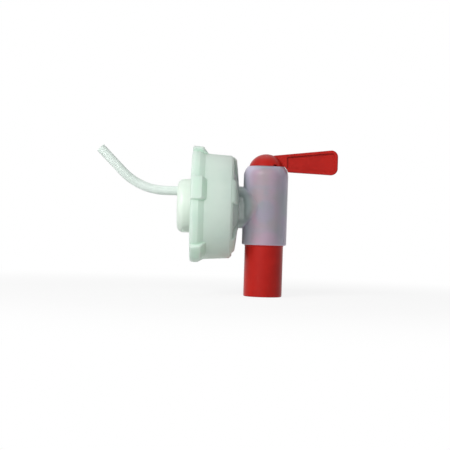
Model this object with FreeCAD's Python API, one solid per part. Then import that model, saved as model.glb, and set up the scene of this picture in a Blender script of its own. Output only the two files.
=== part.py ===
"""Vented screw-cap dispensing tap for a canister or a boxed bag, in millimetres.

The screw cap turns on the X axis and its open end faces -X. The container's rim seals at X = 0.
The valve plug turns on a vertical axis in the barrel, and the spout points down.
"""

import FreeCAD, Part
import math
import os

Vector = FreeCAD.Vector

# Clearances between pieces
RUNNING_GAP = 0.08       # radial, plug in barrel and cap on neck
PUSH_GAP = 0.05          # radial, pieces pushed together for good
SEAL_GAP = 0.025         # drawn gap at each side of an O-ring's section
FACE_GAP = 0.15          # between flat faces that slide on each other
SWEEP_GAP = 0.35         # lever over the body's shoulder
STOP_GAP_DEG = 1.0       # play left at each rotation stop

# Screw cap
THREAD_ROOT_R = 30.75
THREAD_HEIGHT = 1.3
THREAD_PITCH = 4.0
THREAD_TURNS = 2.75
THREAD_BASE = 2.4
THREAD_CREST = 0.9
CAP_DEPTH = 19.6         # open rim to sealing face
CAP_SKIRT_WALL = 2.45    # at the thread
CAP_DRAFT_DEG = 3.6
CAP_FRONT_WALL = 2.6
CAP_CORNER_R = 1.5
CAP_SEAT_STEP = 0.75     # the bore narrows by this round the flange
NOSE_HEIGHT = 3.6
NOSE_BASE_R = 24.0
BEAD_HEIGHT = 2.1
BEAD_WIDTH = 8.4
LUG_COUNT = 5
LUG_HEIGHT = 4.6
LUG_LENGTH = 6.9
LUG_HALF_DEG = 12.0
LUG_ROUND = 1.2
RIB_HALF_DEG = 14.0
RIB_ROUND = 1.0
RIB_EDGE_RISE = 1.7      # rib over the cap's face at its outer end

# Sealing stack inside the cap
GASKET_THICK = 2.0
GASKET_OUTER_R = 29.0
FLANGE_THICK = 1.85

# Inlet hub
HUB_R = 16.8
HUB_WALL = 2.2
HUB_PROUD = 8.6          # beyond the cap's open rim
HUB_END_R = 4.0
HUB_LEDGE = 1.7

# Tap body
NECK_R = 13.1
NECK_WALL = 2.5
STEM_END_X = -9.0
VALVE_AXIS_X = 26.9
BARREL_BORE_R = 12.35
BARREL_WALL = 1.55
BARREL_BOTTOM_Z = -23.2
SHOULDER_Z = 19.8
SHOULDER_R = 8.5
RIM_Z = 26.1
SNAP_HEIGHT = 0.45
SNAP_WIDTH = 1.6
KEY_WIDTH = 2.8
KEY_LENGTH = 2.8

# Liquid ports and air gallery
PORT_WIDTH = 9.4
PORT_MARGIN = 0.8        # neck bore beyond the port, below
AIR_R = 1.65
SOCKET_TOP_WALL = 0.95   # stem left over the vent tube's socket
AIR_PIPE_WALL = 1.2
SOCKET_DEPTH = 6.8
VENT_TUBE_R = 2.9
VENT_TUBE_WALL = 0.8
VENT_TUBE_RUN = 8.0      # straight length beyond the hub
VENT_TUBE_BEND_R = 38.0
VENT_TUBE_BEND_DEG = 45.0
VENT_TUBE_TIP = 20.6

# Valve plug
SPOUT_R = 12.0
SPOUT_BORE_R = 9.7
SPOUT_BOTTOM_Z = -55.6
SPOUT_LIP_R = 0.7
PLUG_TOP_Z = 24.7
WINDOW_WIDTH = 12.0
WELL_FLOOR = 0.95        # plug between the air gallery and the lever's socket
WELL_ACROSS = 8.4        # square socket for the lever's shank
POCKET_INNER_R = 7.4
POCKET_OUTER_R = 10.1
POCKET_FLOOR = 1.8       # plug between the upper seal's groove and the pockets
SEAL_ABOVE_AIR = 1.85    # edge of the air port to the middle of the upper seal
SEAL_BELOW_PORT = 4.4    # edge of the liquid port to the middle of the lower seal

# O-rings
PLUG_SEAL_R = 0.74       # section radius
STEM_SEAL_R = 0.66
STEM_SEAL_X = 1.2
GROOVE_SIDE_GAP = 0.2

# Lever
DOME_TOP_Z = 33.9
DOME_R = 11.38
LEVER_REACH = 44.8
BLADE_THICK = 4.6
BLADE_TIP_TOP_Z = 37.5
BLADE_TIP_BOTTOM_Z = 21.9
BLADE_ROOT_TOP = (4.2, 33.1)
BLADE_ROOT_BOTTOM_Z = 22.9
BLADE_CORNER_R = 4.2
BLADE_RIM = 1.6
BLADE_RECESS = 1.4
BLADE_ROUND = 0.7
SHANK_END_GAP = 0.6
OPEN_TURN_DEG = 90.0
STOP_HALF_DEG = 12.0
STOP_REACH = 1.1

# Sizes that follow from the ones above
PLUG_R = BARREL_BORE_R - RUNNING_GAP
BARREL_R = BARREL_BORE_R + BARREL_WALL
SHOULDER_CENTRE_R = BARREL_R - SHOULDER_R
NECK_BORE_R = NECK_R - NECK_WALL
HUB_BORE_R = NECK_R + PUSH_GAP
FLANGE_FRONT_X = GASKET_THICK + FLANGE_THICK
CAP_INNER_X = FLANGE_FRONT_X + FACE_GAP
CAP_FACE_X = CAP_INNER_X + CAP_FRONT_WALL
NOSE_X = CAP_FACE_X + NOSE_HEIGHT
CAP_RIM_X = -CAP_DEPTH
CAP_SKIRT_R = THREAD_ROOT_R + CAP_SKIRT_WALL
CAP_HOLE_R = NECK_R + RUNNING_GAP
THREAD_MINOR_R = THREAD_ROOT_R - THREAD_HEIGHT
FLANGE_R = THREAD_MINOR_R - 0.25
HUB_REAR_X = CAP_RIM_X - HUB_PROUD
SOCKET_R = VENT_TUBE_R + PUSH_GAP
SOCKET_END_X = STEM_END_X + SOCKET_DEPTH
AIR_Z = NECK_R - SOCKET_TOP_WALL - SOCKET_R
PORT_TOP_Z = AIR_Z - SOCKET_R - AIR_PIPE_WALL - 0.25
PORT_BOTTOM_Z = -NECK_BORE_R + PORT_MARGIN
UPPER_SEAL_Z = AIR_Z + AIR_R + SEAL_ABOVE_AIR
LOWER_SEAL_Z = PORT_BOTTOM_Z - SEAL_BELOW_PORT
WELL_FLOOR_Z = AIR_Z + AIR_R + WELL_FLOOR
SHANK_BOTTOM_Z = WELL_FLOOR_Z + SHANK_END_GAP
POCKET_FLOOR_Z = UPPER_SEAL_Z + PLUG_SEAL_R + GROOVE_SIDE_GAP + POCKET_FLOOR
DOME_CENTRE_Z = DOME_TOP_Z - DOME_R
DOME_SEAT_Z = RIM_Z + FACE_GAP
RIM_OPENING_R = SHOULDER_CENTRE_R + math.sqrt(
    (SHOULDER_R - BARREL_WALL) ** 2 - (RIM_Z - SHOULDER_Z) ** 2
)

OUT = "parts"
X_AXIS = Vector(1, 0, 0)
Z_AXIS = Vector(0, 0, 1)
ORIGIN = Vector(0, 0, 0)


# Small helpers

def outline(points):
    """Closed wire through 2D points; a (mid, end) pair in the list is an arc to its end."""
    edges = []
    start = points[0]
    for step in points[1:] + [points[0]]:
        if isinstance(step[0], tuple):
            mid, end = step
            edges.append(Part.Arc(flat(start), flat(mid), flat(end)).toShape())
        else:
            end = step
            if flat(start).distanceToPoint(flat(end)) > 1e-7:
                edges.append(Part.LineSegment(flat(start), flat(end)).toShape())
        start = end
    return Part.Wire(edges)


def flat(point):
    """A 2D point in the XZ plane."""
    return Vector(point[0], 0, point[1])


def turned_on_x(points):
    """Solid of revolution about X from (x, radius) points."""
    return Part.Face(outline(points)).revolve(ORIGIN, X_AXIS, 360)


def turned_on_valve_axis(points):
    """Solid of revolution about the valve's vertical axis from (radius, z) points."""
    solid = Part.Face(outline(points)).revolve(ORIGIN, Z_AXIS, 360)
    return moved_to_valve_axis(solid)


def moved_to_valve_axis(shape):
    """The shape, drawn round Z, carried to the valve's axis."""
    shape.translate(Vector(VALVE_AXIS_X, 0, 0))
    return shape


def rod(radius, start, end):
    """Cylinder between two points."""
    run = end - start
    return Part.makeCylinder(radius, run.Length, start, run)


def arc_point(centre, radius, degrees):
    """Point on a circle, as a 2D tuple."""
    angle = math.radians(degrees)
    return (centre[0] + radius * math.cos(angle), centre[1] + radius * math.sin(angle))


def height_angle(radius, height):
    """Angle at which a circle's point stands at a height over its centre."""
    return math.degrees(math.asin(height / radius))


def sector_on_z(radius, low_z, high_z, from_deg, to_deg):
    """Pie slice round Z between two angles, counted from +X."""
    pie = Part.makeCylinder(
        radius, high_z - low_z, Vector(0, 0, low_z), Z_AXIS, to_deg - from_deg
    )
    pie.rotate(ORIGIN, Z_AXIS, from_deg)
    return pie


def slot_along(direction, width, low_z, high_z, length):
    """Round-ended upright slot, drawn at the origin and run out along a direction."""
    side = direction.cross(Z_AXIS)
    radius = width / 2
    top, bottom = high_z - radius, low_z + radius
    left, right = side * -radius, side * radius
    edges = [
        Part.LineSegment(right + Z_AXIS * bottom, right + Z_AXIS * top).toShape(),
        Part.Arc(right + Z_AXIS * top, Z_AXIS * high_z, left + Z_AXIS * top).toShape(),
        Part.LineSegment(left + Z_AXIS * top, left + Z_AXIS * bottom).toShape(),
        Part.Arc(left + Z_AXIS * bottom, Z_AXIS * low_z, right + Z_AXIS * bottom).toShape(),
    ]
    return Part.Face(Part.Wire(edges)).extrude(direction * length)


def softened(shape, radius, wanted):
    """The shape with a fillet on each edge that passes the test."""
    return shape.makeFillet(radius, [edge for edge in shape.Edges if wanted(edge)])


def one_solid(shape):
    """The refined shape, which has to be a single solid."""
    shape = shape.removeSplitter()
    if len(shape.Solids) != 1:
        raise ValueError(f"expected one solid and found {len(shape.Solids)}")
    return shape.Solids[0]


# Screw cap

def cap_shell():
    """Skirt, face and nose of the cap, with the rounded bead round its open rim."""
    slope = math.tan(math.radians(CAP_DRAFT_DEG))
    bead_end_x = CAP_RIM_X + BEAD_WIDTH
    skirt_front_r = CAP_SKIRT_R - slope * (CAP_FACE_X - bead_end_x)
    bead_r = CAP_SKIRT_R + BEAD_HEIGHT
    hole_land = 2.4
    slant_x = CAP_INNER_X + 0.9
    shell = turned_on_x([
        (CAP_RIM_X, THREAD_ROOT_R + 0.8),
        (CAP_RIM_X, CAP_SKIRT_R),
        ((CAP_RIM_X + 0.6, bead_r - 0.7), (CAP_RIM_X + 1.9, bead_r)),
        (bead_end_x - 3.4, bead_r - 0.1),
        (bead_end_x, CAP_SKIRT_R),
        (CAP_FACE_X - CAP_CORNER_R, skirt_front_r + slope * CAP_CORNER_R),
        (CAP_FACE_X, skirt_front_r - CAP_CORNER_R),
        (CAP_FACE_X + 0.35, NOSE_BASE_R),
        (NOSE_X - 0.4, CAP_HOLE_R + 1.3),
        (NOSE_X, CAP_HOLE_R + 0.9),
        (NOSE_X, CAP_HOLE_R),
        (NOSE_X - hole_land, CAP_HOLE_R),
        (slant_x, NOSE_BASE_R - CAP_FRONT_WALL),
        (CAP_INNER_X, NOSE_BASE_R - 0.8),
        (CAP_INNER_X, THREAD_ROOT_R - CAP_SEAT_STEP),
        (-2.0, THREAD_ROOT_R - CAP_SEAT_STEP),
        (-3.0, THREAD_ROOT_R),
        (CAP_RIM_X + 0.8, THREAD_ROOT_R),
    ])
    return shell


def cap_rib_profile():
    """Solid of revolution whose sectors are the ribs over the cap's face."""
    slope = math.tan(math.radians(CAP_DRAFT_DEG))
    skirt_front_r = CAP_SKIRT_R - slope * (CAP_FACE_X - CAP_RIM_X - BEAD_WIDTH)
    mid_wall = CAP_FRONT_WALL / 2
    return turned_on_x([
        (NOSE_X - mid_wall, CAP_HOLE_R + 1.4),
        (NOSE_X - 0.3, CAP_HOLE_R + 1.4),
        (
            (CAP_FACE_X + 2.5, NOSE_BASE_R - 0.6),
            (CAP_FACE_X + RIB_EDGE_RISE, skirt_front_r - 2.6),
        ),
        (
            (CAP_FACE_X + 0.45, skirt_front_r - 1.15),
            (CAP_FACE_X - 3.4, skirt_front_r - 0.4),
        ),
        (CAP_FACE_X - 3.4, skirt_front_r - 1.4),
        (CAP_FACE_X - mid_wall, skirt_front_r - 2.6),
        (CAP_FACE_X - mid_wall, NOSE_BASE_R - 0.4),
    ])


def cap_lug_profile():
    """Solid of revolution whose sectors are the wrench lugs at the open rim."""
    lug_r = CAP_SKIRT_R + LUG_HEIGHT
    slope_end_x = CAP_RIM_X + LUG_LENGTH + 3.4
    return turned_on_x([
        (CAP_RIM_X + 0.3, THREAD_ROOT_R + 0.9),
        (CAP_RIM_X + 0.3, lug_r - 0.7),
        (CAP_RIM_X + 0.9, lug_r),
        (CAP_RIM_X + LUG_LENGTH, lug_r - 0.4),
        (slope_end_x, CAP_SKIRT_R - 0.5),
        (slope_end_x, THREAD_ROOT_R + 0.9),
    ])


def sector_on_x(from_deg, to_deg):
    """Pie slice round X over the cap's whole length; 90 degrees is straight up."""
    pie = Part.makeCylinder(
        CAP_SKIRT_R + 10, NOSE_X - CAP_RIM_X + 10, Vector(0, 0, 0), Z_AXIS, to_deg - from_deg
    )
    pie.rotate(ORIGIN, Z_AXIS, from_deg)
    turn = FreeCAD.Rotation(Vector(0, 1, 0), Z_AXIS, X_AXIS, "ZXY")
    pie.Placement = FreeCAD.Placement(Vector(CAP_RIM_X - 5, 0, 0), turn).multiply(pie.Placement)
    return pie


def thread_ridge():
    """Helical ridge inside the skirt."""
    length = THREAD_PITCH * THREAD_TURNS
    sunk = 0.3
    helix = Part.makeHelix(THREAD_PITCH, length, THREAD_ROOT_R)
    half_base, half_crest = THREAD_BASE / 2, THREAD_CREST / 2
    profile = outline([
        (THREAD_ROOT_R + sunk, -half_base),
        (THREAD_MINOR_R, -half_crest),
        (THREAD_MINOR_R, half_crest),
        (THREAD_ROOT_R + sunk, half_base),
    ])
    ridge = Part.Wire(helix).makePipeShell([profile], True, True)
    ridge.rotate(ORIGIN, Vector(0, 1, 0), 90)
    ridge.translate(Vector(CAP_RIM_X + 2.6, 0, 0))
    return ridge


def spun_on_x(shape, degrees):
    """Copy of a shape, turned about the cap's axis."""
    copy = shape.copy()
    copy.rotate(ORIGIN, X_AXIS, degrees)
    return copy


def on_lug_side(edge):
    """Whether an edge runs along a lug's side, outside the skirt."""
    middle = edge.BoundBox.Center
    return edge.BoundBox.XLength > 1 and math.hypot(middle.y, middle.z) > CAP_SKIRT_R + 0.3


def on_rib_side(edge):
    """Whether an edge is one of the curved ones along a rib's side."""
    return edge.BoundBox.XLength > 1 and edge.Curve.TypeId != "Part::GeomLine"


def make_screw_cap():
    """Cap with thread, face ribs and wrench lugs, one lug and rib straight up."""
    lug = cap_lug_profile().common(sector_on_x(-LUG_HALF_DEG, LUG_HALF_DEG))
    rib = cap_rib_profile().common(sector_on_x(-RIB_HALF_DEG, RIB_HALF_DEG))
    lug = softened(lug, LUG_ROUND, on_lug_side)
    rib = softened(rib, RIB_ROUND, on_rib_side)
    turns = [90.0 + i * 360.0 / LUG_COUNT for i in range(LUG_COUNT)]
    pads = [spun_on_x(pad, turn) for turn in turns for pad in (lug, rib)]
    cap = one_solid(cap_shell().multiFuse(pads))
    return one_solid(cap.fuse(thread_ridge()))


# Sealing ring and hub inside the cap

def make_cap_gasket():
    """Flat ring that the container's rim presses on."""
    inner_r = HUB_R + 0.2
    return turned_on_x([
        (0, inner_r),
        (0, GASKET_OUTER_R),
        (GASKET_THICK, GASKET_OUTER_R),
        (GASKET_THICK, inner_r),
    ])


def make_inlet_hub():
    """Flanged cup that clips on the body's stem from behind and holds the cap captive."""
    chamber_r = HUB_R - HUB_WALL
    rear_inner_x = HUB_REAR_X + HUB_WALL
    ledge_r = HUB_BORE_R - 1.1
    snap_x = STEM_END_X + 2.6
    end = HUB_END_R
    hub = turned_on_x([
        (HUB_REAR_X, 0),
        (HUB_REAR_X, HUB_R - end),
        (
            (HUB_REAR_X + end * (1 - math.sqrt(0.5)), HUB_R - end * (1 - math.sqrt(0.5))),
            (HUB_REAR_X + end, HUB_R),
        ),
        (GASKET_THICK, HUB_R),
        (GASKET_THICK, FLANGE_R),
        (FLANGE_FRONT_X, FLANGE_R),
        (FLANGE_FRONT_X, HUB_BORE_R + 0.6),
        (FLANGE_FRONT_X - 0.6, HUB_BORE_R),
        (snap_x + SNAP_WIDTH * 0.6, HUB_BORE_R),
        (snap_x, HUB_BORE_R + SNAP_HEIGHT + PUSH_GAP),
        (snap_x - SNAP_WIDTH * 0.6, HUB_BORE_R),
        (STEM_END_X, HUB_BORE_R),
        (STEM_END_X, ledge_r),
        (STEM_END_X - HUB_LEDGE, ledge_r),
        (STEM_END_X - HUB_LEDGE - 0.8, chamber_r),
        (rear_inner_x + 1.0, chamber_r),
        (rear_inner_x, chamber_r - 1.0),
        (rear_inner_x, 0),
    ])
    through = Vector(HUB_WALL + 2, 0, 0)
    tube_hole = rod(
        SOCKET_R, Vector(HUB_REAR_X - 1, 0, AIR_Z), Vector(STEM_END_X, 0, AIR_Z)
    )
    inlet_r = chamber_r - 2.2
    inlet_top = AIR_Z - VENT_TUBE_R - 2.6
    side = math.sqrt(inlet_r ** 2 - inlet_top ** 2)
    inlet = Part.Wire([
        Part.Arc(
            Vector(HUB_REAR_X - 1, -side, inlet_top),
            Vector(HUB_REAR_X - 1, 0, -inlet_r),
            Vector(HUB_REAR_X - 1, side, inlet_top),
        ).toShape(),
        Part.LineSegment(
            Vector(HUB_REAR_X - 1, side, inlet_top),
            Vector(HUB_REAR_X - 1, -side, inlet_top),
        ).toShape(),
    ])
    inlet = Part.Face(inlet).extrude(through)
    corners = [e for e in inlet.Edges if abs(e.tangentAt(e.FirstParameter).x) > 0.99]
    inlet = inlet.makeFillet(1.6, corners)
    key = Part.makeBox(
        KEY_LENGTH,
        KEY_WIDTH,
        1.4 + PUSH_GAP,
        Vector(STEM_END_X, -KEY_WIDTH / 2, -HUB_BORE_R - 0.05),
    )
    return one_solid(hub.cut(tube_hole).cut(inlet).fuse(key))


def make_o_ring(section_r, centre_r):
    """Ring round Z at the origin."""
    return Part.makeTorus(centre_r, section_r)


def make_hub_o_ring():
    """Seal between the body's stem and the hub's bore."""
    ring = make_o_ring(STEM_SEAL_R, HUB_BORE_R - SEAL_GAP - STEM_SEAL_R)
    ring.rotate(ORIGIN, Vector(0, 1, 0), 90)
    ring.translate(Vector(STEM_SEAL_X, 0, 0))
    return ring


# Tap body

def barrel_outside():
    """Solid inside the barrel's outer skin, closed at the rim."""
    centre = (SHOULDER_CENTRE_R, SHOULDER_Z)
    rim_deg = height_angle(SHOULDER_R, RIM_Z - SHOULDER_Z)
    return turned_on_valve_axis([
        (0, BARREL_BOTTOM_Z),
        (BARREL_R - 0.5, BARREL_BOTTOM_Z),
        (BARREL_R, BARREL_BOTTOM_Z + 0.5),
        (BARREL_R, SHOULDER_Z),
        (arc_point(centre, SHOULDER_R, rim_deg / 2), arc_point(centre, SHOULDER_R, rim_deg)),
        (0, RIM_Z),
    ])


def barrel_inside():
    """Space inside the barrel, open through the bottom and the rim."""
    centre = (SHOULDER_CENTRE_R, SHOULDER_Z)
    inner_r = SHOULDER_R - BARREL_WALL
    rim_deg = height_angle(inner_r, RIM_Z - SHOULDER_Z)
    return turned_on_valve_axis([
        (0, BARREL_BOTTOM_Z - 1),
        (BARREL_BORE_R + 1.6, BARREL_BOTTOM_Z - 1),
        (BARREL_BORE_R, BARREL_BOTTOM_Z + 0.6),
        (BARREL_BORE_R, SHOULDER_Z),
        (arc_point(centre, inner_r, rim_deg / 2), arc_point(centre, inner_r, rim_deg)),
        (RIM_OPENING_R, RIM_Z + 1),
        (0, RIM_Z + 1),
    ])


def stem_outside():
    """Neck and stem, with the seal groove and the snap bead."""
    snap_x = STEM_END_X + 2.6
    half = STEM_SEAL_R + GROOVE_SIDE_GAP
    groove_r = HUB_BORE_R - 2 * (STEM_SEAL_R + SEAL_GAP)
    return turned_on_x([
        (STEM_END_X, 0),
        (STEM_END_X, NECK_R - 0.6),
        (STEM_END_X + 0.9, NECK_R),
        (snap_x - SNAP_WIDTH / 2, NECK_R),
        (snap_x, NECK_R + SNAP_HEIGHT),
        (snap_x + SNAP_WIDTH / 2, NECK_R),
        (STEM_SEAL_X - half, NECK_R),
        (STEM_SEAL_X - half, groove_r),
        (STEM_SEAL_X + half, groove_r),
        (STEM_SEAL_X + half, NECK_R),
        (VALVE_AXIS_X, NECK_R),
        (VALVE_AXIS_X, 0),
    ])


def air_pipe_outside():
    """Pipe along the top of the neck's bore, wider where it takes the vent tube."""
    start = Vector(STEM_END_X, 0, AIR_Z)
    socket = rod(SOCKET_R + AIR_PIPE_WALL, start, Vector(SOCKET_END_X + 1.2, 0, AIR_Z))
    pipe = rod(AIR_R + AIR_PIPE_WALL, start, Vector(VALVE_AXIS_X, 0, AIR_Z))
    return socket.fuse(pipe)


def air_pipe_inside():
    """Air way from the vent tube's socket to the barrel's bore."""
    socket = rod(
        SOCKET_R, Vector(STEM_END_X - 1, 0, AIR_Z), Vector(SOCKET_END_X, 0, AIR_Z)
    )
    bore = rod(AIR_R, Vector(STEM_END_X, 0, AIR_Z), Vector(VALVE_AXIS_X, 0, AIR_Z))
    return socket.fuse(bore)


def rotation_stop():
    """Tab inside the rim that the lever's collar turns against, on the side of the cap."""
    tab = sector_on_z(
        RIM_OPENING_R + 1.4,
        PLUG_TOP_Z + 0.3,
        RIM_Z,
        180 - STOP_HALF_DEG,
        180 + STOP_HALF_DEG,
    )
    core = Part.makeCylinder(RIM_OPENING_R - STOP_REACH, 10, Vector(0, 0, PLUG_TOP_Z - 2))
    return moved_to_valve_axis(tab.cut(core))


def make_tap_body():
    """Barrel, neck, stem and air pipe, moulded in one."""
    barrel = barrel_outside()
    neck_space = rod(
        NECK_BORE_R, Vector(STEM_END_X - 1, 0, 0), Vector(VALVE_AXIS_X, 0, 0)
    )
    neck_space = neck_space.cut(barrel).cut(air_pipe_outside())
    port = slot_along(Vector(-1, 0, 0), PORT_WIDTH, PORT_BOTTOM_Z, PORT_TOP_Z, BARREL_R)
    port = moved_to_valve_axis(port)
    key_slot = Part.makeBox(
        KEY_LENGTH + 2 * PUSH_GAP + 1,
        KEY_WIDTH + 2 * PUSH_GAP,
        NECK_WALL + 2,
        Vector(STEM_END_X - 1, -KEY_WIDTH / 2 - PUSH_GAP, -NECK_R - 1),
    )
    body = barrel.fuse(stem_outside())
    body = body.cut(neck_space).cut(barrel_inside())
    body = body.cut(port).cut(air_pipe_inside()).cut(key_slot)
    return one_solid(body.fuse(rotation_stop()))


# Vent tube

def make_vent_tube():
    """Stiff bent tube from the stem's socket, through the hub and up behind the cap."""
    bore_r = VENT_TUBE_R - VENT_TUBE_WALL
    bend_x = HUB_REAR_X - VENT_TUBE_RUN
    start = Vector(SOCKET_END_X - 0.3, 0, AIR_Z)
    bend_start = Vector(bend_x, 0, AIR_Z)
    centre = Vector(bend_x, 0, AIR_Z + VENT_TUBE_BEND_R)
    angle = math.radians(VENT_TUBE_BEND_DEG)
    bend_end = centre + Vector(-math.sin(angle), 0, -math.cos(angle)) * VENT_TUBE_BEND_R
    tip = bend_end + Vector(-math.cos(angle), 0, math.sin(angle)) * VENT_TUBE_TIP

    def solid(radius, extra):
        along = Vector(extra, 0, 0)
        outward = (tip - bend_end).normalize() * extra
        ring = Part.Face(Part.Wire(Part.makeCircle(radius, bend_start, X_AXIS)))
        bend = ring.revolve(centre, Vector(0, 1, 0), VENT_TUBE_BEND_DEG)
        straight = rod(radius, start + along, bend_start)
        return straight.fuse(bend).fuse(rod(radius, bend_end, tip + outward))

    return one_solid(solid(VENT_TUBE_R, 0).cut(solid(bore_r, 1.0)))


# Valve plug

def plug_outside():
    """Spout, plug and rounded head, with the two seal grooves."""
    centre = (SHOULDER_CENTRE_R, SHOULDER_Z)
    head_r = SHOULDER_R - BARREL_WALL - RUNNING_GAP
    top_deg = height_angle(head_r, PLUG_TOP_Z - SHOULDER_Z)
    half = PLUG_SEAL_R + GROOVE_SIDE_GAP
    groove_r = BARREL_BORE_R - 2 * (PLUG_SEAL_R + SEAL_GAP)
    step_z = BARREL_BOTTOM_Z - 0.9
    lip = SPOUT_LIP_R
    points = [
        (0, SPOUT_BOTTOM_Z),
        (SPOUT_R - lip, SPOUT_BOTTOM_Z),
        (arc_point((SPOUT_R - lip, SPOUT_BOTTOM_Z + lip), lip, -45), (SPOUT_R, SPOUT_BOTTOM_Z + lip)),
        (SPOUT_R, step_z),
        (PLUG_R, step_z + 0.25),
    ]
    for seal_z in (LOWER_SEAL_Z, UPPER_SEAL_Z):
        points += [
            (PLUG_R, seal_z - half),
            (groove_r, seal_z - half),
            (groove_r, seal_z + half),
            (PLUG_R, seal_z + half),
        ]
    points += [
        (PLUG_R, SHOULDER_Z),
        (arc_point(centre, head_r, top_deg / 2), arc_point(centre, head_r, top_deg)),
        (0, PLUG_TOP_Z),
    ]
    return turned_on_valve_axis(points)


def square_on_z(across, low_z, high_z, corner_r):
    """Upright square bar with rounded corners, round Z."""
    bar = Part.makeBox(
        across, across, high_z - low_z, Vector(-across / 2, -across / 2, low_z)
    )
    uprights = [e for e in bar.Edges if abs(e.tangentAt(e.FirstParameter).z) > 0.99]
    return bar.makeFillet(corner_r, uprights)


def plug_pockets():
    """Ring-shaped coring of the plug's head, crossed by four ribs."""
    ring = Part.makeCylinder(POCKET_OUTER_R, 20, Vector(0, 0, POCKET_FLOOR_Z))
    ring = ring.cut(Part.makeCylinder(POCKET_INNER_R, 20, Vector(0, 0, POCKET_FLOOR_Z)))
    rib = 1.6
    for turn in (0, 90):
        bar = Part.makeBox(30, rib, 20, Vector(-15, -rib / 2, POCKET_FLOOR_Z))
        bar.rotate(ORIGIN, Z_AXIS, turn + 45)
        ring = ring.cut(bar)
    head = POCKET_OUTER_R - 1.9
    taper = Part.makeCone(POCKET_OUTER_R, head, PLUG_TOP_Z - SHOULDER_Z, Vector(0, 0, SHOULDER_Z))
    keep = Part.makeCylinder(POCKET_OUTER_R, SHOULDER_Z - POCKET_FLOOR_Z, Vector(0, 0, POCKET_FLOOR_Z))
    above = Part.makeCylinder(head, 2, Vector(0, 0, PLUG_TOP_Z))
    return ring.common(keep.fuse(taper).fuse(above))


def make_valve_plug():
    """Plug and spout in one: side window, air gallery, socket for the lever."""
    outer = plug_outside()
    bore = turned_on_valve_axis([
        (0, SPOUT_BOTTOM_Z - 1),
        (SPOUT_BORE_R + 1.5, SPOUT_BOTTOM_Z - 1),
        (SPOUT_BORE_R, SPOUT_BOTTOM_Z + 0.5),
        (SPOUT_BORE_R, PORT_TOP_Z),
        (0, PORT_TOP_Z),
    ])
    window = slot_along(Vector(0, -1, 0), WINDOW_WIDTH, PORT_BOTTOM_Z, PORT_TOP_Z, PLUG_R + 1)
    gallery = rod(AIR_R, Vector(0, 0, AIR_Z), Vector(0, -PLUG_R - 1, AIR_Z))
    rise = rod(AIR_R + 0.5, Vector(0, 0, AIR_Z), Vector(0, 0, WELL_FLOOR_Z + 1))
    well = square_on_z(WELL_ACROSS + 2 * PUSH_GAP, WELL_FLOOR_Z, PLUG_TOP_Z + 1, 1.0)
    cuts = window.fuse(gallery).fuse(rise).fuse(well).fuse(plug_pockets())
    return one_solid(outer.cut(bore).cut(moved_to_valve_axis(cuts)))


def make_plug_o_ring(seal_z):
    """Seal between the plug's groove and the barrel."""
    ring = make_o_ring(PLUG_SEAL_R, BARREL_BORE_R - SEAL_GAP - PLUG_SEAL_R)
    ring.translate(Vector(VALVE_AXIS_X, 0, seal_z))
    return ring


# Lever

def blade_outline(inset):
    """Side outline of the blade, drawn in XZ from the valve's axis, shrunk by an inset."""
    top_x, top_z = BLADE_ROOT_TOP
    rise = (BLADE_TIP_TOP_Z - top_z) / (LEVER_REACH - top_x)
    fall = (BLADE_ROOT_BOTTOM_Z - BLADE_TIP_BOTTOM_Z) / (LEVER_REACH - BARREL_R)
    tip = LEVER_REACH - inset
    corner = BLADE_CORNER_R - inset
    clear_r = SHOULDER_R + SWEEP_GAP
    centre = (SHOULDER_CENTRE_R, SHOULDER_Z)
    root_deg = height_angle(clear_r, BLADE_ROOT_BOTTOM_Z - SHOULDER_Z)
    seat_deg = height_angle(clear_r, DOME_SEAT_Z - SHOULDER_Z)
    root = arc_point(centre, clear_r, root_deg)

    def top_at(x):
        return top_z + rise * (x - top_x) - inset

    def bottom_at(x):
        return BLADE_ROOT_BOTTOM_Z - fall * (x - root[0]) + inset

    quarter = corner * (1 - math.sqrt(0.5))
    points = [
        (tip - corner, bottom_at(tip)),
        ((tip - quarter, bottom_at(tip) + quarter), (tip, bottom_at(tip) + corner)),
        (tip, top_at(tip) - corner),
        ((tip - quarter, top_at(tip) - quarter), (tip - corner, top_at(tip))),
    ]
    if inset:
        start = DOME_R + 1.4
        return points + [(start, top_at(start)), (start, bottom_at(start) + 0.9)]
    return points + [
        (top_x, top_z),
        (top_x, DOME_SEAT_Z),
        arc_point(centre, clear_r, seat_deg),
        (arc_point(centre, clear_r, (seat_deg + root_deg) / 2), root),
    ]


def on_blade_rim(edge):
    """Whether an edge runs round the blade's face, clear of the dome and the shoulder."""
    return edge.BoundBox.YLength < 1e-6 and edge.BoundBox.XMax > BARREL_R + 1


def lever_blade():
    """Flat thumb blade: a rim round a thinner web."""
    plate = Part.Face(outline(blade_outline(0)))
    plate.translate(Vector(0, -BLADE_THICK / 2, 0))
    plate = plate.extrude(Vector(0, BLADE_THICK, 0))
    plate = softened(plate, BLADE_ROUND, on_blade_rim)
    for side in (-1, 1):
        panel = Part.Face(outline(blade_outline(BLADE_RIM)))
        panel.translate(Vector(0, side * (BLADE_THICK / 2 - BLADE_RECESS), 0))
        plate = plate.cut(panel.extrude(Vector(0, side * 5, 0)))
    return plate


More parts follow.
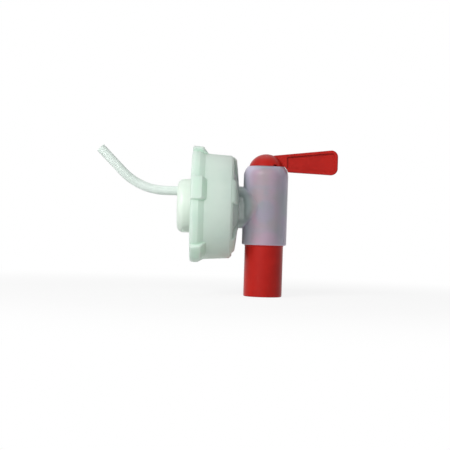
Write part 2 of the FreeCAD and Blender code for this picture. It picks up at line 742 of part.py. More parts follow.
def lever_shank():
    """Square shank with an air flute, and the round collar that carries the stop."""
    collar_r = RIM_OPENING_R - 0.3
    collar = Part.makeCylinder(collar_r, DOME_SEAT_Z - PLUG_TOP_Z + 0.5, Vector(0, 0, PLUG_TOP_Z))
    notch = sector_on_z(
        collar_r + 1,
        PLUG_TOP_Z - 1,
        DOME_SEAT_Z,
        180 - STOP_HALF_DEG - STOP_GAP_DEG,
        180 + STOP_HALF_DEG + STOP_GAP_DEG + OPEN_TURN_DEG,
    )
    notch_r = RIM_OPENING_R - STOP_REACH - 0.3
    notch = notch.cut(Part.makeCylinder(notch_r, 20, Vector(0, 0, PLUG_TOP_Z - 5)))
    shank = square_on_z(WELL_ACROSS, SHANK_BOTTOM_Z, PLUG_TOP_Z + 1, 1.0)
    flute = Part.makeBox(2.4, 3, 20, Vector(-1.2, -WELL_ACROSS / 2 - 1.6, SHANK_BOTTOM_Z - 1))
    flute = flute.cut(Part.makeBox(20, 20, 20, Vector(-10, -10, PLUG_TOP_Z + 0.9)))
    air_way = Part.makeBox(2.4, 12, 0.9, Vector(-1.2, -12, PLUG_TOP_Z))
    air_way = air_way.cut(Part.makeCylinder(WELL_ACROSS / 2 - 1.6, 5, Vector(0, 0, PLUG_TOP_Z - 1)))
    return collar.cut(notch).fuse(shank).cut(flute).cut(air_way)


def make_lever():
    """Dome, blade and shank in one."""
    dome = Part.makeSphere(DOME_R, Vector(0, 0, DOME_CENTRE_Z))
    dome = dome.common(Part.makeBox(40, 40, 40, Vector(-20, -20, DOME_SEAT_Z)))
    for turn in (60, 180, 300):
        notch = Part.makeBox(DOME_R, 2.6, 0.9, Vector(0, -1.3, DOME_SEAT_Z))
        notch = notch.cut(Part.makeCylinder(RIM_OPENING_R - 0.3, 3, Vector(0, 0, DOME_SEAT_Z - 1)))
        notch.rotate(ORIGIN, Z_AXIS, turn)
        dome = dome.cut(notch)
    lever = dome.fuse(lever_blade()).fuse(lever_shank())
    return moved_to_valve_axis(one_solid(lever))


def main():
    os.makedirs(OUT, exist_ok=True)
    pieces = {
        "screw_cap": make_screw_cap(),
        "cap_gasket": make_cap_gasket(),
        "inlet_hub": make_inlet_hub(),
        "hub_o_ring": make_hub_o_ring(),
        "tap_body": make_tap_body(),
        "vent_tube": make_vent_tube(),
        "valve_plug": make_valve_plug(),
        "plug_upper_o_ring": make_plug_o_ring(UPPER_SEAL_Z),
        "plug_lower_o_ring": make_plug_o_ring(LOWER_SEAL_Z),
        "lever": make_lever(),
    }
    for name, shape in pieces.items():
        shape.exportStep(f"{OUT}/{name}.step")
        print(f"{name}: {len(shape.Solids)} solid, {shape.Volume / 1000:.2f} cm3, valid {shape.isValid()}")


main()
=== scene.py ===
"""Looks of a vented screw-cap dispensing tap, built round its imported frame.

Everything is in metres, in the frame's own axes: X runs along the cap's axis towards the valve,
Z runs up the valve's axis. The container's rim would seal at X = 0.
"""

import logging
import math
from dataclasses import dataclass, field
from enum import Enum
from typing import Any, Iterable

import bpy
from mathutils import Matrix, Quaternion, Vector

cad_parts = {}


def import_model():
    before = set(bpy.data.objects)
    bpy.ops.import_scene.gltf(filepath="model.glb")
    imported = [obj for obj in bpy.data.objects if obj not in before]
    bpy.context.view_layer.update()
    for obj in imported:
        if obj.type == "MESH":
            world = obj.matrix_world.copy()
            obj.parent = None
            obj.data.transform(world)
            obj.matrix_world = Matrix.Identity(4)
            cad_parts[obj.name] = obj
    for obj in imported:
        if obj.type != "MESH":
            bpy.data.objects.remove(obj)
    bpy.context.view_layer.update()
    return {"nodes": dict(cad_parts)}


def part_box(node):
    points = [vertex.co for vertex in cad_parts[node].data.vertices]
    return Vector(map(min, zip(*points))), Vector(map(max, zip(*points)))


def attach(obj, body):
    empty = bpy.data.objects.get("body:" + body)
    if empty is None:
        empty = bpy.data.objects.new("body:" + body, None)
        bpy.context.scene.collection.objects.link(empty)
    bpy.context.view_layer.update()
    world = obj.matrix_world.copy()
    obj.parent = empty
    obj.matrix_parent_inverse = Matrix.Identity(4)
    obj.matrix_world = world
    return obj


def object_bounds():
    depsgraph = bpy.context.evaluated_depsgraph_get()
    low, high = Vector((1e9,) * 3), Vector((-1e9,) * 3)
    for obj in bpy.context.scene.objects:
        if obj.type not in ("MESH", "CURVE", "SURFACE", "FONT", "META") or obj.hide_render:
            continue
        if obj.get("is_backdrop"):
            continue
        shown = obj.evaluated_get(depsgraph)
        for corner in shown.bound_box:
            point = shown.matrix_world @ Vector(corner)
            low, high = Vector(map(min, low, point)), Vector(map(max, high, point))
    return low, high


LOG = logging.getLogger("tap")
MM = 0.001

VALVE_AXIS_X = 26.9 * MM
PLUG_GLOW_NEAR = 13.9 * MM        # painted glow of the red plug in full up to this distance from the valve's axis
PLUG_GLOW_FAR = 16.0 * MM         # no painted glow beyond it
SEAM_SUNK_SHARE = 0.45       # depth of a bead's centre under the surface, in bead radii
CLOUD_BAND = (0.38, 0.66)    # noise values over which the resin's clouds fade in
SCUFF_BAND = (0.62, 0.74)
PORE_BAND = (0.15, 0.6)
EDGE_BAND = (0.12, 0.62)     # facing values over which a wall turns milky
BUMP_DEPTH = 0.3 * MM
SCUFF_ROUGHNESS = 0.35

Colour = tuple[float, float, float]


class Body(Enum):
    """Names of the moving bodies that a piece can ride on."""

    CAP = "cap"
    TAP = "tap"
    VALVE = "valve"


class Slot(Enum):
    """Material slots of the record."""

    CAP = "natural_cap"
    GASKET = "gasket_foam"
    HUB = "natural_hub"
    SEAL = "seal_rubber"
    BODY = "translucent_body"
    TUBE = "natural_tube"
    RED = "red_plastic"


def linear(red: int, green: int, blue: int) -> Colour:
    """Turn a display colour into the linear one that shaders take, by the sRGB curve.

    Args:
        red: Red, 0 to 255.
        green: Green, 0 to 255.
        blue: Blue, 0 to 255.

    Returns:
        The linear colour.
    """
    values = []
    for part in (red, green, blue):
        share = part / 255
        values.append(share / 12.92 if share <= 0.04045 else ((share + 0.055) / 1.055) ** 2.4)
    return tuple(values)


class Board:
    """Adds and joins the nodes of one tree."""

    def __init__(self, tree: bpy.types.NodeTree) -> None:
        """Keep the tree that the nodes go into."""
        self.tree = tree

    def add(self, kind: str, settings: dict[str, Any] | None = None, **inputs: Any) -> bpy.types.Node:
        """Add a node, set its properties, and fill or join its inputs.

        Args:
            kind: The node's type name.
            settings: Properties of the node itself.
            **inputs: Input names, with underscores for spaces, and a value or a source socket each.

        Returns:
            The new node.
        """
        node = self.tree.nodes.new(kind)
        for name, value in (settings or {}).items():
            setattr(node, name, value)
        for name, value in inputs.items():
            self.feed(node, name.replace("_", " "), value)
        return node

    def feed(self, node: bpy.types.Node, name: str | int, value: Any) -> None:
        """Fill one input with a value, or join it to a source socket."""
        target = node.inputs[name]
        if isinstance(value, bpy.types.NodeSocket):
            self.tree.links.new(value, target)
        else:
            target.default_value = value

    def math(self, operation: str, *values: Any) -> bpy.types.NodeSocket:
        """Add a Math node and return its result.

        Args:
            operation: The node's operation.
            *values: Up to three numbers or sockets.

        Returns:
            The result's socket.
        """
        node = self.tree.nodes.new("ShaderNodeMath")
        node.operation = operation
        for index, value in enumerate(values):
            self.feed(node, index, value)
        return node.outputs[0]

    def ramp(
        self, value: Any, low: float, high: float, start: float = 0, end: float = 1
    ) -> bpy.types.NodeSocket:
        """Map a value smoothly from one range to another.

        Args:
            value: The socket to map.
            low: Value that gives start.
            high: Value that gives end.
            start: Result at low.
            end: Result at high.

        Returns:
            The result's socket.
        """
        node = self.add("ShaderNodeMapRange", {"interpolation_type": "SMOOTHSTEP"}, Value=value)
        for name, number in (("From Min", low), ("From Max", high), ("To Min", start), ("To Max", end)):
            self.feed(node, name, number)
        return node.outputs["Result"]

    def blend(self, share: Any, first: Any, second: Any) -> bpy.types.NodeSocket:
        """Mix two colours and return the mixed one."""
        node = self.tree.nodes.new("ShaderNodeMix")
        node.data_type = "RGBA"
        self.feed(node, 0, share)
        self.feed(node, 6, first)
        self.feed(node, 7, second)
        return node.outputs[2]


def new_group(
    name: str, kind: str, inputs: Iterable[tuple[str, str, Any]], outputs: Iterable[tuple[str, str]]
) -> Board:
    """Make a node group with named sockets.

    Args:
        name: The group's name.
        kind: The tree's type name.
        inputs: Name, socket type and default of each input.
        outputs: Name and socket type of each output.

    Returns:
        A board on the new group's tree.
    """
    tree = bpy.data.node_groups.new(name, kind)
    for label, socket_type, default in inputs:
        socket = tree.interface.new_socket(name=label, in_out="INPUT", socket_type=socket_type)
        if default is not None:
            socket.default_value = default
    for label, socket_type in outputs:
        tree.interface.new_socket(name=label, in_out="OUTPUT", socket_type=socket_type)
    return Board(tree)


class Effects:
    """Shader groups that several finishes share, each built once."""

    FLOAT = "NodeSocketFloat"
    COLOUR = "NodeSocketColor"

    def __init__(self) -> None:
        """Build every group."""
        self.moulded = self._moulded_skin()
        self.scuffs = self._scuffs()
        self.pores = self._pores()
        self.painted_plug_glow = self._painted_plug_glow()

    def _moulded_skin(self) -> bpy.types.NodeTree:
        """Cloudy resin with a faint orange-peel skin."""
        board = new_group(
            "Moulded skin",
            "ShaderNodeTree",
            [
                ("Colour", self.COLOUR, (0.8, 0.8, 0.8, 1)),
                ("Cloud Colour", self.COLOUR, (0.7, 0.7, 0.7, 1)),
                ("Cloud Amount", self.FLOAT, 0.5),
                ("Cloud Scale", self.FLOAT, 60.0),
                ("Grain Scale", self.FLOAT, 900.0),
                ("Roughness", self.FLOAT, 0.4),
                ("Roughness Spread", self.FLOAT, 0.1),
            ],
            [("Colour", self.COLOUR), ("Roughness", self.FLOAT), ("Height", self.FLOAT)],
        )
        given = board.add("NodeGroupInput").outputs
        place = board.add("ShaderNodeTexCoord").outputs["Object"]
        cloud = board.add("ShaderNodeTexNoise", Vector=place, Scale=given["Cloud Scale"], Detail=3.0)
        share = board.math("MULTIPLY", board.ramp(cloud.outputs["Fac"], *CLOUD_BAND), given["Cloud Amount"])
        grain = board.add("ShaderNodeTexNoise", Vector=place, Scale=given["Grain Scale"], Detail=4.0)
        offset = board.math("SUBTRACT", grain.outputs["Fac"], 0.5)
        rough = board.math("MULTIPLY_ADD", offset, given["Roughness Spread"], given["Roughness"])
        out = board.add("NodeGroupOutput")
        board.feed(out, "Colour", board.blend(share, given["Colour"], given["Cloud Colour"]))
        board.feed(out, "Roughness", rough)
        board.feed(out, "Height", grain.outputs["Fac"])
        return board.tree

    def _scuffs(self) -> bpy.types.NodeTree:
        """Mask of short handling scuffs, from stretched noise in two directions."""
        board = new_group(
            "Handling scuffs",
            "ShaderNodeTree",
            [("Scale", self.FLOAT, 120.0), ("Amount", self.FLOAT, 0.3)],
            [("Mask", self.FLOAT)],
        )
        given = board.add("NodeGroupInput").outputs
        place = board.add("ShaderNodeTexCoord").outputs["Object"]
        masks = []
        for turn, stretch in (((0.3, 0.5, 0.2), (1, 9, 1)), ((1.1, -0.4, 0.9), (8, 1, 1))):
            mapping = board.add("ShaderNodeMapping", Vector=place, Rotation=turn, Scale=stretch)
            noise = board.add(
                "ShaderNodeTexNoise", Vector=mapping.outputs[0], Scale=given["Scale"], Detail=5.0
            )
            masks.append(board.ramp(noise.outputs["Fac"], *SCUFF_BAND))
        both = board.math("MAXIMUM", masks[0], masks[1])
        out = board.add("NodeGroupOutput")
        board.feed(out, "Mask", board.math("MULTIPLY", both, given["Amount"]))
        return board.tree

    def _pores(self) -> bpy.types.NodeTree:
        """Height of small closed cells, as on foam."""
        board = new_group(
            "Foam pores", "ShaderNodeTree", [("Scale", self.FLOAT, 2200.0)], [("Height", self.FLOAT)]
        )
        given = board.add("NodeGroupInput").outputs
        place = board.add("ShaderNodeTexCoord").outputs["Object"]
        cells = board.add("ShaderNodeTexVoronoi", Vector=place, Scale=given["Scale"])
        out = board.add("NodeGroupOutput")
        board.feed(out, "Height", board.ramp(cells.outputs["Distance"], *PORE_BAND))
        return board.tree

    def _painted_plug_glow(self) -> bpy.types.NodeTree:
        """Mask of a painted glow: 1 round an upright axis, fading out away from it."""
        board = new_group(
            "Painted plug glow",
            "ShaderNodeTree",
            [("Axis X", self.FLOAT, 0.0), ("Near", self.FLOAT, PLUG_GLOW_NEAR), ("Far", self.FLOAT, PLUG_GLOW_FAR)],
            [("Mask", self.FLOAT)],
        )
        given = board.add("NodeGroupInput").outputs
        place = board.add("ShaderNodeTexCoord").outputs["Object"]
        parts = board.add("ShaderNodeSeparateXYZ", Vector=place).outputs
        along = board.math("SUBTRACT", parts["X"], given["Axis X"])
        squares = board.math("ADD", board.math("POWER", along, 2.0), board.math("POWER", parts["Y"], 2.0))
        radius = board.math("SQRT", squares)
        span = board.math("SUBTRACT", given["Far"], given["Near"])
        share = board.math("DIVIDE", board.math("SUBTRACT", given["Far"], radius), span)
        out = board.add("NodeGroupOutput")
        board.feed(out, "Mask", board.ramp(share, 0.0, 1.0))
        return board.tree


@dataclass(frozen=True)
class Moulded:
    """A moulded plastic finish."""

    name: str
    colour: Colour
    cloud: Colour
    cloud_amount: float = 0.5
    cloud_scale: float = 60.0
    roughness: float = 0.38
    roughness_spread: float = 0.12
    grain_scale: float = 900.0
    bump: float = 0.06
    scuff_amount: float = 0.0
    scuff_colour: Colour = (0.8, 0.8, 0.8)
    subsurface: float = 0.0
    subsurface_depth: float = 0.004
    alpha: float = 1.0
    edge_alpha: float | None = None
    shadow_alpha: float = 0.3
    specular: float = 0.5
    # colour and axis of the painted glow of the red plug shining through the wall
    plug_glow_colour: Colour | None = None
    plug_glow_axis_x: float = 0.0

    def build(self, effects: Effects) -> bpy.types.Material:
        """Make the material.

        Args:
            effects: The shared shader groups.

        Returns:
            The node material.
        """
        material = bpy.data.materials.new(self.name)
        material.use_nodes = True
        board = Board(material.node_tree)
        shader = material.node_tree.nodes["Principled BSDF"]
        skin = board.add("ShaderNodeGroup", {"node_tree": effects.moulded})
        board.feed(skin, "Cloud Colour", (*self.cloud, 1))
        board.feed(skin, "Cloud Amount", self.cloud_amount)
        board.feed(skin, "Cloud Scale", self.cloud_scale)
        board.feed(skin, "Grain Scale", self.grain_scale)
        board.feed(skin, "Roughness", self.roughness)
        board.feed(skin, "Roughness Spread", self.roughness_spread)
        board.feed(skin, "Colour", self._base(board, effects))
        colour, rough = skin.outputs["Colour"], skin.outputs["Roughness"]
        if self.scuff_amount:
            scuffs = board.add("ShaderNodeGroup", {"node_tree": effects.scuffs})
            board.feed(scuffs, "Amount", self.scuff_amount)
            mask = scuffs.outputs["Mask"]
            colour = board.blend(mask, colour, (*self.scuff_colour, 1))
            rough = board.math("ADD", rough, board.math("MULTIPLY", mask, SCUFF_ROUGHNESS))
        height = skin.outputs["Height"]
        bump = board.add("ShaderNodeBump", Strength=self.bump, Distance=BUMP_DEPTH, Height=height)
        board.feed(shader, "Base Color", colour)
        board.feed(shader, "Roughness", rough)
        board.feed(shader, "Normal", bump.outputs["Normal"])
        self._see_through(board, shader)
        shader.inputs["Specular IOR Level"].default_value = self.specular
        shader.inputs["Subsurface Weight"].default_value = self.subsurface
        shader.inputs["Subsurface Radius"].default_value = (1.0, 1.0, 1.0)
        shader.inputs["Subsurface Scale"].default_value = self.subsurface_depth
        return material

    def _see_through(self, board: Board, shader: bpy.types.Node) -> None:
        """Set Alpha: higher where a milky wall is looked along, lower for the lamps' own light."""
        if self.edge_alpha is None:
            shader.inputs["Alpha"].default_value = self.alpha
            return
        weight = board.add("ShaderNodeLayerWeight", Blend=0.5)
        seen = board.ramp(weight.outputs["Facing"], *EDGE_BAND, self.alpha, self.edge_alpha)
        lamp = board.add("ShaderNodeLightPath").outputs["Is Shadow Ray"]
        passed = board.math("MULTIPLY_ADD", lamp, self.shadow_alpha - 1.0, 1.0)
        board.feed(shader, "Alpha", board.math("MULTIPLY", seen, passed))

    def _base(self, board: Board, effects: Effects) -> Any:
        """Plain colour, or one that turns pink round the valve's axis: painted glow of the red plug's light
        scattered through the milky wall.
        """
        plain = (*self.colour, 1)
        if self.plug_glow_colour is None:
            return plain
        # painted glow: the red plug's light scattered through the wall, mixed into the base colour
        core = board.add("ShaderNodeGroup", {"node_tree": effects.painted_plug_glow})
        board.feed(core, "Axis X", self.plug_glow_axis_x)
        return board.blend(core.outputs["Mask"], plain, (*self.plug_glow_colour, 1))


@dataclass(frozen=True)
class Foam:
    """A soft closed-cell sealing foam."""

    name: str
    colour: Colour
    painted_pore_shade: float = 0.8
    bump: float = 0.4
    pore_depth: float = 0.2 * MM
    roughness: float = 0.85

    def build(self, effects: Effects) -> bpy.types.Material:
        """Make the material from the foam's pores, with painted shade in their pits.

        Args:
            effects: The shared shader groups.

        Returns:
            The node material.
        """
        material = bpy.data.materials.new(self.name)
        material.use_nodes = True
        board = Board(material.node_tree)
        shader = material.node_tree.nodes["Principled BSDF"]
        pores = board.add("ShaderNodeGroup", {"node_tree": effects.pores})
        height = pores.outputs["Height"]
        # pits of the pores darkened: painted shade in the recesses
        shade = tuple(part * self.painted_pore_shade for part in self.colour)
        board.feed(shader, "Base Color", board.blend(height, (*shade, 1), (*self.colour, 1)))
        bump = board.add("ShaderNodeBump", Strength=self.bump, Distance=self.pore_depth, Height=height)
        board.feed(shader, "Normal", bump.outputs["Normal"])
        shader.inputs["Roughness"].default_value = self.roughness
        return material


CAP_FINISH = Moulded(
    name="natural_polyethylene",
    colour=linear(210, 233, 217),
    cloud=linear(198, 222, 208),
    cloud_amount=0.6,
    cloud_scale=45.0,
    roughness=0.46,
    subsurface=1.0,
    subsurface_depth=0.009,
    specular=0.3,
)
HUB_FINISH = Moulded(
    name="white_polypropylene",
    colour=linear(228, 241, 229),
    cloud=linear(216, 233, 219),
    roughness=0.36,
    subsurface=0.3,
    subsurface_depth=0.003,
)
TUBE_FINISH = Moulded(
    name="tube_polyethylene",
    colour=linear(224, 236, 229),
    cloud=linear(208, 222, 214),
    cloud_scale=90.0,
    roughness=0.34,
    subsurface=0.3,
    subsurface_depth=0.002,
)
BODY_FINISH = Moulded(
    name="milky_polypropylene",
    colour=linear(188, 204, 200),
    cloud=linear(172, 190, 188),
    cloud_amount=0.5,
    cloud_scale=70.0,
    roughness=0.3,
    roughness_spread=0.08,
    bump=0.04,
    alpha=0.42,
    edge_alpha=0.96,
    specular=0.25,
    # pink tint round the valve's axis: painted glow of the red plug behind the wall
    plug_glow_colour=linear(198, 191, 211),
    plug_glow_axis_x=VALVE_AXIS_X,
)
RED_FINISH = Moulded(
    name="red_polyethylene",
    colour=linear(180, 32, 25),
    cloud=linear(160, 24, 19),
    cloud_amount=0.5,
    cloud_scale=80.0,
    roughness=0.34,
    roughness_spread=0.14,
    bump=0.05,
    scuff_amount=0.08,
    scuff_colour=linear(205, 90, 80),
    specular=0.15,
)
SEAL_FINISH = Moulded(
    name="seal_rubber",
    colour=linear(96, 110, 106),
    cloud=linear(80, 92, 90),
    roughness=0.55,
)
GASKET_FINISH = Foam(name="gasket_foam", colour=linear(226, 228, 222))


def seam_bead_tree() -> bpy.types.NodeTree:
    """Make the Geometry Nodes tree of a thin raised bead along the edges of a mesh.

    Returns:
        The tree.
    """
    board = new_group(
        "Seam bead",
        "GeometryNodeTree",
        [
            ("Geometry", "NodeSocketGeometry", None),
            ("Bead Radius", "NodeSocketFloat", 0.0001),
            ("Step", "NodeSocketFloat", 0.0006),
            ("Material", "NodeSocketMaterial", None),
        ],
        [("Geometry", "NodeSocketGeometry")],
    )
    given = board.add("NodeGroupInput").outputs
    path = board.add("GeometryNodeMeshToCurve", Mesh=given["Geometry"]).outputs["Curve"]
    even = board.add("GeometryNodeResampleCurve", {"mode": "LENGTH"}, Curve=path, Length=given["Step"])
    section = board.add("GeometryNodeCurvePrimitiveCircle", Resolution=8, Radius=given["Bead Radius"])
    swept = board.add("GeometryNodeCurveToMesh", Curve=even.outputs["Curve"])
    board.feed(swept, "Profile Curve", section.outputs["Curve"])
    board.feed(swept, "Fill Caps", True)
    finish_tree(board, swept.outputs["Mesh"], given["Material"])
    return board.tree


def finish_tree(board: Board, mesh: bpy.types.NodeSocket, material: bpy.types.NodeSocket) -> None:
    """End a tree with smooth shading, Realize Instances and Set Material.

    Args:
        board: The tree's board.
        mesh: The geometry to finish.
        material: The material input.
    """
    smooth = board.add("GeometryNodeSetShadeSmooth", Geometry=mesh)
    real = board.add("GeometryNodeRealizeInstances", Geometry=smooth.outputs["Geometry"])
    dressed = board.add("GeometryNodeSetMaterial", Geometry=real.outputs["Geometry"], Material=material)
    out = board.add("NodeGroupOutput")
    board.feed(out, "Geometry", dressed.outputs["Geometry"])


def path_object(name: str, points: list[Vector]) -> bpy.types.Object:
    """Make an object whose mesh is a chain of edges.

    Args:
        name: The object's name.
        points: The chain's points, in order.

    Returns:
        The new object, linked to the scene.
    """
    mesh = bpy.data.meshes.new(name)
    edges = [(i, i + 1) for i in range(len(points) - 1)]
    mesh.from_pydata([tuple(point) for point in points], edges, [])
    item = bpy.data.objects.new(name, mesh)
    bpy.context.scene.collection.objects.link(item)
    return item


def run_tree(item: bpy.types.Object, tree: bpy.types.NodeTree, values: dict[str, Any]) -> bpy.types.Object:
    """Run a Geometry Nodes tree on an object and keep the result as its plain mesh.

    Args:
        item: The object whose mesh the tree starts from.
        tree: The tree.
        values: The tree's inputs, by name.

    Returns:
        The same object, with the finished mesh and no modifier.
    """
    modifier = item.modifiers.new(tree.name, "NODES")
    modifier.node_group = tree
    for socket in tree.interface.items_tree:
        if socket.item_type == "SOCKET" and socket.in_out == "INPUT" and socket.name in values:
            modifier[socket.identifier] = values[socket.name]
    item.update_tag()
    graph = bpy.context.evaluated_depsgraph_get()
    made = bpy.data.meshes.new_from_object(item.evaluated_get(graph))
    item.modifiers.remove(modifier)
    item.data = made
    made.name = item.name
    return item


@dataclass
class Shop:
    """What every sub-assembly needs to build and dress its pieces."""

    nodes: dict[str, bpy.types.Object]
    effects: Effects
    seam_tree: bpy.types.NodeTree
    materials: dict[Slot, bpy.types.Material] = field(default_factory=dict)

    def __post_init__(self) -> None:
        """Build one material for each slot."""
        finishes = {
            Slot.CAP: CAP_FINISH,
            Slot.GASKET: GASKET_FINISH,
            Slot.HUB: HUB_FINISH,
            Slot.SEAL: SEAL_FINISH,
            Slot.BODY: BODY_FINISH,
            Slot.TUBE: TUBE_FINISH,
            Slot.RED: RED_FINISH,
        }
        for slot, finish in finishes.items():
            self.materials[slot] = finish.build(self.effects)

    def dress(self, node: str, slot: Slot) -> None:
        """Give a carried-over node its finish."""
        mesh = self.nodes[node].data
        mesh.materials.clear()
        mesh.materials.append(self.materials[slot])
        LOG.info("%s: dressed in %s", node, slot.value)

    def mount(self, piece: bpy.types.Object, body: Body) -> None:
        """Set a finished piece on its body."""
        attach(piece, body.value)
        LOG.info("%s: %d faces on %s", piece.name, len(piece.data.polygons), body.value)

    def seam(self, name: str, points: list[Vector], body: Body, slot: Slot, radius: float) -> None:
        """Add a mould-seam bead along a chain of points."""
        item = path_object(name, points)
        values = {"Bead Radius": radius, "Material": self.materials[slot]}
        self.mount(run_tree(item, self.seam_tree, values), body)


def arc_points(centre: Vector, radius: float, start: float, end: float, count: int) -> list[Vector]:
    """Points on an arc in the XZ plane.

    Args:
        centre: The arc's centre.
        radius: Its radius.
        start: First angle, in degrees from +X towards +Z.
        end: Last angle, in degrees.
        count: How many points.

    Returns:
        The points, in order.
    """
    points = []
    for i in range(count):
        angle = math.radians(start + (end - start) * i / (count - 1))
        points.append(centre + Vector((math.cos(angle), 0, math.sin(angle))) * radius)
    return points


@dataclass
class CapAssembly:
    """Screw cap and the sealing ring inside it."""

    shop: Shop

    def build(self) -> None:
        """Dress the cap and its gasket."""
        self.shop.dress("screw_cap", Slot.CAP)
        self.shop.dress("cap_gasket", Slot.GASKET)


@dataclass
class HubAssembly:
    """Inlet hub with its hidden seal."""

    shop: Shop

    def build(self) -> None:
        """Dress the hub and its seal."""
        self.shop.dress("inlet_hub", Slot.HUB)
        self.shop.dress("hub_o_ring", Slot.SEAL)


@dataclass
class VentTube:
    """Stiff bent tube from the stem's socket through the hub."""

    shop: Shop

    def build(self) -> None:
        """Dress the tube."""
        self.shop.dress("vent_tube", Slot.TUBE)


@dataclass
class TapBody:
    """Translucent barrel with its side neck."""

    shop: Shop
    neck_radius: float = 13.1 * MM
    shoulder_z: float = 19.8 * MM
    shoulder_radius: float = 8.5 * MM
    shoulder_points: int = 12
    seam_radius: float = 0.11 * MM
    cap_clearance: float = 0.3 * MM
    rim_clearance: float = 0.2 * MM
    foot_clearance: float = 0.7 * MM

    def build(self) -> None:
        """Dress the body and add the seams of its two-part mould."""
        self.shop.dress("tap_body", Slot.BODY)
        self.add_seams()

    def add_seams(self) -> None:
        """Seams down both sides of the barrel and along the neck, in the plane of symmetry."""
        low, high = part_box("tap_body")
        barrel_radius = high.x - VALVE_AXIS_X
        inset = self.seam_radius * SEAM_SUNK_SHARE
        reach = barrel_radius - inset
        neck = self.neck_radius - inset
        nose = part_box("screw_cap")[1].x + self.cap_clearance
        arc_radius = self.shoulder_radius - inset
        arc_centre = Vector((VALVE_AXIS_X + barrel_radius - self.shoulder_radius, 0, self.shoulder_z))
        rise = high.z - self.shoulder_z - self.rim_clearance
        rim_degrees = math.degrees(math.asin(rise / arc_radius))
        front = arc_points(arc_centre, arc_radius, 0, rim_degrees, self.shoulder_points)
        bottom = low.z + self.foot_clearance
        chains = {
            "body_seam_front": [Vector((VALVE_AXIS_X + reach, 0, bottom)), *front],
            "body_seam_upper": [Vector((nose, 0, neck)), Vector((VALVE_AXIS_X - reach, 0, neck))]
            + [self.mirrored(point) for point in front],
            "body_seam_lower": [
                Vector((nose, 0, -neck)),
                Vector((VALVE_AXIS_X - reach, 0, -neck)),
                Vector((VALVE_AXIS_X - reach, 0, bottom)),
            ],
        }
        for name, points in chains.items():
            self.shop.seam(name, points, Body.TAP, Slot.BODY, self.seam_radius)

    @staticmethod
    def mirrored(point: Vector) -> Vector:
        """The point on the other side of the valve's axis."""
        return Vector((2 * VALVE_AXIS_X - point.x, point.y, point.z))


@dataclass
class ValveAssembly:
    """Red plug with its spout, two seals and the lever."""

    shop: Shop
    blade_top_root: tuple[float, float] = (14.5 * MM, 34.22 * MM)
    blade_top_tip: tuple[float, float] = (40.3 * MM, 37.01 * MM)
    blade_bottom_root: tuple[float, float] = (15.0 * MM, 22.86 * MM)
    blade_bottom_tip: tuple[float, float] = (40.3 * MM, 22.04 * MM)
    spout_radius: float = 12.0 * MM
    seam_radius: float = 0.09 * MM
    barrel_clearance: float = 1.2 * MM
    mouth_clearance: float = 0.9 * MM

    def build(self) -> None:
        """Dress the plug, seals and lever, and add their mould seams."""
        self.shop.dress("valve_plug", Slot.RED)
        self.shop.dress("lever", Slot.RED)
        for node in ("plug_upper_o_ring", "plug_lower_o_ring"):
            self.shop.dress(node, Slot.SEAL)
        self.add_blade_seams()
        self.add_spout_seams()

    def add_blade_seams(self) -> None:
        """Seams along the blade's upper and lower edge."""
        edges = {
            "lever_seam_upper": (self.blade_top_root, self.blade_top_tip),
            "lever_seam_lower": (self.blade_bottom_root, self.blade_bottom_tip),
        }
        for name, ends in edges.items():
            points = [Vector((VALVE_AXIS_X + along, 0, height)) for along, height in ends]
            self.shop.seam(name, points, Body.VALVE, Slot.RED, self.seam_radius)

    def add_spout_seams(self) -> None:
        """Seams down both sides of the spout."""
        plug_low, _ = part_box("valve_plug")
        barrel_low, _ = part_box("tap_body")
        top = barrel_low.z - self.barrel_clearance
        bottom = plug_low.z + self.mouth_clearance
        reach = self.spout_radius - self.seam_radius * SEAM_SUNK_SHARE
        for side, name in ((-1, "spout_seam_rear"), (1, "spout_seam_front")):
            x = VALVE_AXIS_X + side * reach
            points = [Vector((x, 0, top)), Vector((x, 0, bottom))]
            self.shop.seam(name, points, Body.VALVE, Slot.RED, self.seam_radius)


@dataclass(frozen=True)
class Lamp:
    """A square area lamp that faces the object."""

    name: str
    offset: tuple[float, float, float]
    size: float
    power: float


LAMPS = (
    Lamp("key", (-0.5, -0.85, 0.5), 0.5, 9.5),
    Lamp("front_fill", (-0.3, -1.0, -0.3), 0.8, 1.0),
    Lamp("top", (-0.1, 0.25, 1.0), 0.6, 1.5),
)


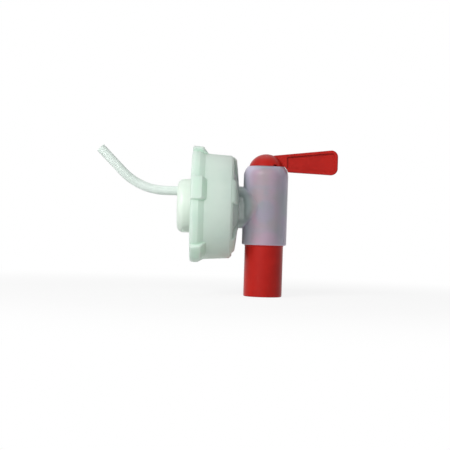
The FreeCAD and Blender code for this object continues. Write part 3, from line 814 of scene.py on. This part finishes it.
@dataclass
class Studio:
    """Camera, floor, lamps and world."""

    axis_right_of_centre: float = 25.2 * MM
    axis_above_centre: float = 10.6 * MM
    distance: float = 0.9
    frame_width: float = 283.0 * MM
    roll_degrees: float = 1.8
    sensor: float = 36.0
    lamp_target_x: float = 10.0 * MM
    floor_half: float = 6.0
    fade_start: float = 0.12
    fade_end: float = 0.4
    near_whiteness: float = 0.86
    world_strength: float = 0.18

    def build(self) -> None:
        """Set up everything round the object."""
        self.add_camera()
        self.add_floor()
        self.add_lamps()
        self.set_world()
        bpy.context.scene.view_settings.view_transform = "Standard"

    def add_camera(self) -> None:
        """Level camera square to the tap's side, turned slightly about its own axis."""
        data = bpy.data.cameras.new("camera")
        data.sensor_width = self.sensor
        data.lens = self.sensor * self.distance / self.frame_width
        data.clip_start = 0.01
        data.clip_end = 20.0
        camera = bpy.data.objects.new("camera", data)
        bpy.context.scene.collection.objects.link(camera)
        roll = Quaternion((0, 1, 0), math.radians(-self.roll_degrees))
        right = roll @ Vector((1, 0, 0))
        above = roll @ Vector((0, 0, 1))
        shift = right * self.axis_right_of_centre + above * self.axis_above_centre
        aim = Vector((VALVE_AXIS_X, 0, 0)) - shift
        camera.location = aim + Vector((0, -self.distance, 0))
        level = Vector((0, 1, 0)).to_track_quat("-Z", "Y")
        camera.rotation_mode = "QUATERNION"
        camera.rotation_quaternion = roll @ level
        bpy.context.scene.camera = camera

    def add_floor(self) -> None:
        """Pale floor at the spout's mouth, which shows white and keeps a faint shadow."""
        low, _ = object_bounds()
        mesh = bpy.data.meshes.new("floor")
        half, z = self.floor_half, low.z
        corners = [(-half, -half, z), (half, -half, z), (half, half, z), (-half, half, z)]
        mesh.from_pydata(corners, [], [(0, 1, 2, 3)])
        floor = bpy.data.objects.new("floor", mesh)
        bpy.context.scene.collection.objects.link(floor)
        mesh.materials.append(self.floor_material())
        floor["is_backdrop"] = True

    def floor_material(self) -> bpy.types.Material:
        """Near-white paint that reads as white to the camera and in reflections."""
        material = bpy.data.materials.new("floor_paint")
        material.use_nodes = True
        board = Board(material.node_tree)
        shader = material.node_tree.nodes["Principled BSDF"]
        shader.inputs["Base Color"].default_value = (0.9, 0.9, 0.9, 1)
        shader.inputs["Roughness"].default_value = 0.9
        shader.inputs["Specular IOR Level"].default_value = 0.0
        glow = board.add("ShaderNodeEmission", Color=(1, 1, 1, 1), Strength=1.0)
        place = board.add("ShaderNodeTexCoord").outputs["Object"]
        distance = board.add("ShaderNodeVectorMath", {"operation": "LENGTH"})
        board.feed(distance, 0, place)
        fade = board.ramp(
            distance.outputs["Value"], self.fade_start, self.fade_end, self.near_whiteness, 1.0
        )
        share = board.math("MULTIPLY", self.seen_rays(board), fade)
        mix = board.add("ShaderNodeMixShader")
        board.feed(mix, 0, share)
        board.feed(mix, 1, shader.outputs["BSDF"])
        board.feed(mix, 2, glow.outputs["Emission"])
        board.feed(material.node_tree.nodes["Material Output"], "Surface", mix.outputs[0])
        return material

    @staticmethod
    def seen_rays(board: Board) -> bpy.types.NodeSocket:
        """1 for camera, glossy and transmission rays."""
        path = board.add("ShaderNodeLightPath").outputs
        glossy = board.math("MAXIMUM", path["Is Camera Ray"], path["Is Glossy Ray"])
        return board.math("MAXIMUM", glossy, path["Is Transmission Ray"])

    def add_lamps(self) -> None:
        """Soft key from the upper left in front, with weak fills from the front and from above."""
        centre = Vector((self.lamp_target_x, 0, 0))
        for spec in LAMPS:
            data = bpy.data.lights.new(spec.name, "AREA")
            data.size = spec.size
            data.energy = spec.power
            lamp = bpy.data.objects.new(spec.name, data)
            bpy.context.scene.collection.objects.link(lamp)
            offset = Vector(spec.offset)
            lamp.location = centre + offset
            lamp.rotation_mode = "QUATERNION"
            lamp.rotation_quaternion = (-offset).to_track_quat("-Z", "Y")

    def set_world(self) -> None:
        """White where it is seen, and a soft grey light elsewhere."""
        world = bpy.data.worlds.new("studio")
        world.use_nodes = True
        bpy.context.scene.world = world
        board = Board(world.node_tree)
        world.node_tree.nodes.clear()
        seen = self.seen_rays(board)
        strength = board.ramp(seen, 0.0, 1.0, self.world_strength, 1.0)
        background = board.add("ShaderNodeBackground", Color=(1, 1, 1, 1), Strength=strength)
        out = board.add("ShaderNodeOutputWorld")
        board.feed(out, "Surface", background.outputs[0])


def main() -> None:
    """Load the frame, build each sub-assembly and the studio."""
    logging.basicConfig(level=logging.INFO, format="%(name)s: %(message)s")
    bpy.ops.wm.read_factory_settings(use_empty=True)
    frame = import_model()
    shop = Shop(nodes=frame["nodes"], effects=Effects(), seam_tree=seam_bead_tree())
    CapAssembly(shop).build()
    HubAssembly(shop).build()
    VentTube(shop).build()
    TapBody(shop).build()
    ValveAssembly(shop).build()
    Studio().build()


if __name__ == "__main__":
    main()
